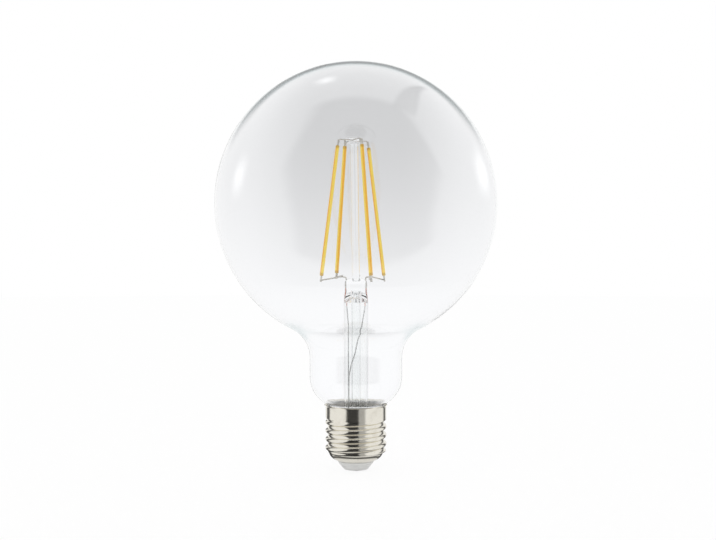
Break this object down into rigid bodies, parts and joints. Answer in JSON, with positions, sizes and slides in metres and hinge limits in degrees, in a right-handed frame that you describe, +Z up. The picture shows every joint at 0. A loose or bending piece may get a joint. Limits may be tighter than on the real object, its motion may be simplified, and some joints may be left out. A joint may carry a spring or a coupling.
{
  "type": "globe bulb",
  "caption": "Clear glass globe lamp with light-emitting strips in a tapering cage on a glass stem, and a nickel screw cap with a grey insulator.",
  "frame": {"origin": "centre of the lowest face of the centre contact, on the lamp's axis", "axes": "+Z up the axis from the cap to the globe; +X to the right of the front view; +Y away from the viewer"},
  "size_m": [0.121, 0.121, 0.1752],
  "materials": {
    "clear_glass": "clear blown soda-lime glass",
    "copper_clad": "copper-clad seal wire, red-brown in the glass",
    "nickel_wire": "drawn nickel wire, dull",
    "tinned_wire": "tinned wire, dull",
    "nickel_plate": "bright nickel plate, slightly warm",
    "cement": "grey-white capping cement",
    "pale_grey_plastic": "pale grey moulded insulator",
    "contact_metal": "grey nickel-plated contact",
    "board_laminate": "green solder-resist laminate",
    "black_moulding": "black moulded package",
    "can_sleeve": "dark shrink sleeve",
    "resistor_body": "matt resistor lacquer",
    "solder": "solder",
    "strip_ceramic": "white ceramic plate",
    "led_chip": "pale chip",
    "amber_coat": "amber phosphor silicone, satin"
  },
  "bodies": {
    "root": {"glass_envelope": "clear_glass", "stem_tube": "clear_glass", "exhaust_tube": "clear_glass", "stem_pillar": "clear_glass", "seal_wire_left": "copper_clad", "seal_wire_right": "copper_clad", "lead_in_wire_left": "nickel_wire", "lead_in_wire_right": "nickel_wire", "branch_wire_left": "nickel_wire", "branch_wire_right": "nickel_wire", "top_wire_front": "nickel_wire", "top_wire_rear": "nickel_wire", "outer_lead_left": "tinned_wire", "outer_lead_right": "tinned_wire", "cap_shell": "nickel_plate", "capping_cement": "cement", "cap_insulator": "pale_grey_plastic", "centre_contact": "contact_metal", "driver_board": "board_laminate", "bridge_rectifier": "black_moulding", "driver_ic": "black_moulding", "chip_resistors": "black_moulding", "smoothing_capacitor": "can_sleeve", "fusible_resistor": "resistor_body", "centre_contact_wire": "tinned_wire", "side_contact_wire": "tinned_wire", "lead_solder": "solder", "strip_1_plate": "strip_ceramic", "strip_1_chips": "led_chip", "strip_1_coat": "amber_coat", "strip_1_tabs": "nickel_wire", "strip_2_plate": "strip_ceramic", "strip_2_chips": "led_chip", "strip_2_coat": "amber_coat", "strip_2_tabs": "nickel_wire", "strip_3_plate": "strip_ceramic", "strip_3_chips": "led_chip", "strip_3_coat": "amber_coat", "strip_3_tabs": "nickel_wire", "strip_4_plate": "strip_ceramic", "strip_4_chips": "led_chip", "strip_4_coat": "amber_coat", "strip_4_tabs": "nickel_wire"}
  },
  "joints": []
}
